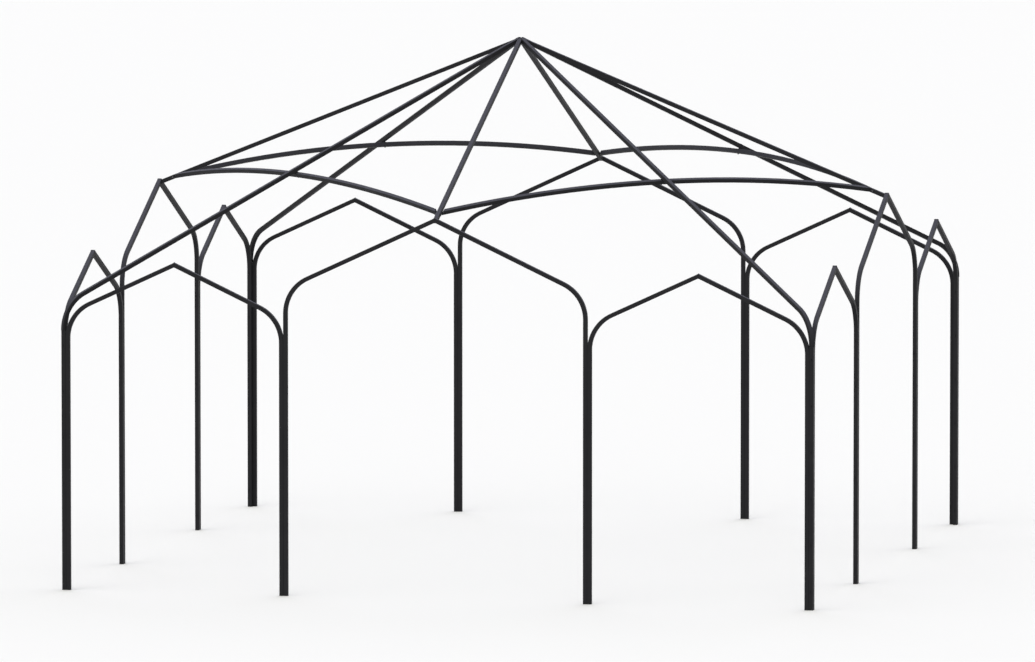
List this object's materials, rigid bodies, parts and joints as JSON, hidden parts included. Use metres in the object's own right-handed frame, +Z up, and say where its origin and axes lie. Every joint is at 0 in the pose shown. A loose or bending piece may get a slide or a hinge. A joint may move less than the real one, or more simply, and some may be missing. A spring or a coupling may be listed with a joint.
{
  "type": "garden pavilion",
  "caption": "Open square garden pavilion of bent square steel tube: arched doorways on every side under a low hipped roof frame of rafters and curved purlins.",
  "frame": {"origin": "middle of the plan at ground level, on the plane of the feet", "axes": "+Z up, -Y out of the front wall, +X to the right as seen from the front"},
  "size_m": [5.0052, 5.0052, 3.4755],
  "materials": {
    "frame": "satin",
    "plug": "matte"
  },
  "bodies": {
    "root": {"front_left_post": "frame", "front_right_post": "frame", "back_right_post": "frame", "back_left_post": "frame", "front_left_arch_outer": "frame", "front_left_arch_inner": "frame", "front_wide_arch_left": "frame", "front_wide_arch_right": "frame", "front_right_arch_inner": "frame", "front_right_arch_outer": "frame", "right_left_arch_outer": "frame", "right_left_arch_inner": "frame", "right_wide_arch_left": "frame", "right_wide_arch_right": "frame", "right_right_arch_inner": "frame", "right_right_arch_outer": "frame", "back_left_arch_outer": "frame", "back_left_arch_inner": "frame", "back_wide_arch_left": "frame", "back_wide_arch_right": "frame", "back_right_arch_inner": "frame", "back_right_arch_outer": "frame", "left_left_arch_outer": "frame", "left_left_arch_inner": "frame", "left_wide_arch_left": "frame", "left_wide_arch_right": "frame", "left_right_arch_inner": "frame", "left_right_arch_outer": "frame", "front_rafter": "frame", "right_rafter": "frame", "back_rafter": "frame", "left_rafter": "frame", "front_left_hip": "frame", "front_right_hip": "frame", "back_right_hip": "frame", "back_left_hip": "frame", "front_left_purlin": "frame", "front_right_purlin": "frame", "back_right_purlin": "frame", "back_left_purlin": "frame", "purlin_spacers": "frame", "crown_hub": "frame", "foot_plugs": "plug"}
  },
  "joints": []
}
